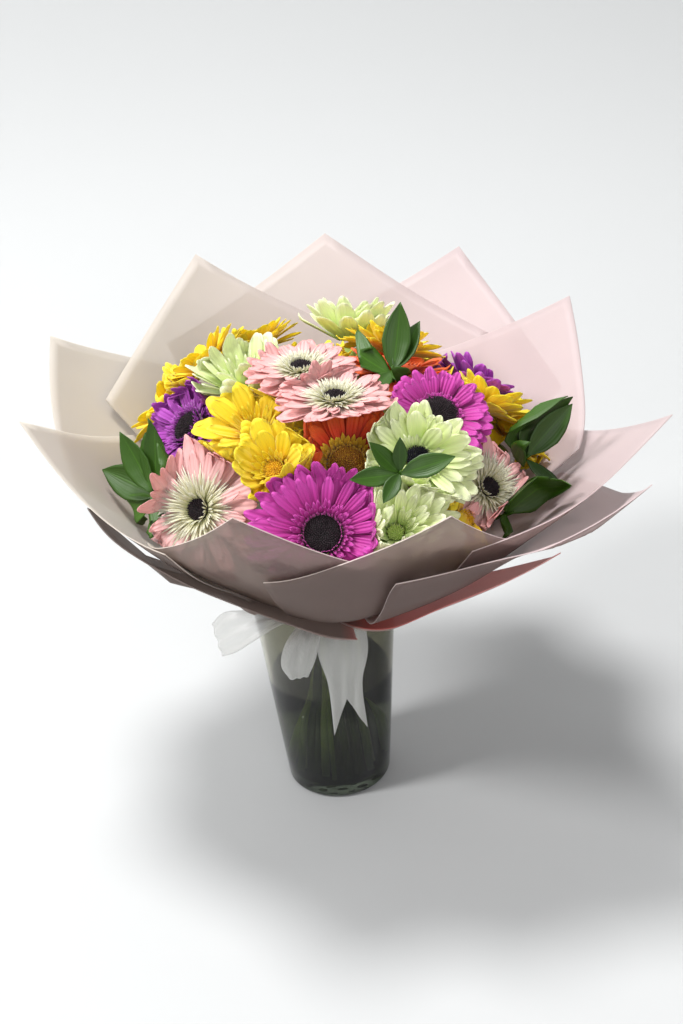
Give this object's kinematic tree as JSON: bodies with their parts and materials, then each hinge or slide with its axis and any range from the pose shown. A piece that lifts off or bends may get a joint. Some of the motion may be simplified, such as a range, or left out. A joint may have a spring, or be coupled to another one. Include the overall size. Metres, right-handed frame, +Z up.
{
  "type": "gerbera bouquet in a glass vase",
  "caption": "Hand-tied bouquet of mixed gerberas in an open wrap of flower paper, tied with an organza ribbon and standing in a tapered glass vase of water.",
  "frame": {"origin": "centre of the vase's underside, on the surface it stands on", "axes": "+Z up the vase, -Y towards the front of the bouquet, where the bow hangs"},
  "size_m": [0.4607, 0.4572, 0.4116],
  "materials": {
    "disc_dark": "matt, dense florets",
    "disc_ochre": "matt, dense florets",
    "leaf": "gloss",
    "organza": "sheer",
    "paper": "satin two-tone flower paper",
    "petal_green": "matt",
    "petal_magenta": "matt",
    "petal_orange": "matt",
    "petal_pink": "matt",
    "petal_purple": "matt",
    "petal_yellow": "matt",
    "stems": "satin",
    "vase_glass": "smooth smoked glass",
    "water": "clear"
  },
  "bodies": {
    "root": {"green_back": "petal_green", "green_cup": "petal_green", "green_front": "petal_green", "green_rear": "petal_green", "green_right": "petal_green", "green_right_disc": "disc_dark", "leaves_centre": "leaf", "leaves_left": "leaf", "leaves_low_right": "leaf", "leaves_right": "leaf", "leaves_top": "leaf", "magenta_front": "petal_magenta", "magenta_front_disc": "disc_dark", "magenta_right": "petal_magenta", "magenta_right_disc": "disc_dark", "orange_back": "petal_orange", "orange_front": "petal_orange", "orange_front_disc": "disc_ochre", "orange_rear": "petal_orange", "paper_back": "paper", "paper_back_centre_left": "paper", "paper_back_centre_right": "paper", "paper_back_left": "paper", "paper_back_right": "paper", "paper_collar_left": "paper", "paper_collar_right": "paper", "paper_front_left": "paper", "paper_front_right": "paper", "paper_left": "paper", "paper_right": "paper", "paper_right_low": "paper", "pink_left": "petal_pink", "pink_left_disc": "disc_dark", "pink_middle": "petal_pink", "pink_middle_disc": "disc_dark", "pink_right": "petal_pink", "pink_right_disc": "disc_dark", "pink_top": "petal_pink", "pink_top_disc": "disc_dark", "purple_back_right": "petal_purple", "purple_left": "petal_purple", "purple_left_disc": "disc_dark", "ribbon": "organza", "stems": "stems", "vase": "vase_glass", "water": "water", "yellow_back": "petal_yellow", "yellow_back_left": "petal_yellow", "yellow_cup": "petal_yellow", "yellow_far_left": "petal_yellow", "yellow_far_right": "petal_yellow", "yellow_left": "petal_yellow", "yellow_low": "petal_yellow", "yellow_low_right": "petal_yellow", "yellow_middle": "petal_yellow", "yellow_rear": "petal_yellow", "yellow_right": "petal_yellow"}
  },
  "joints": []
}
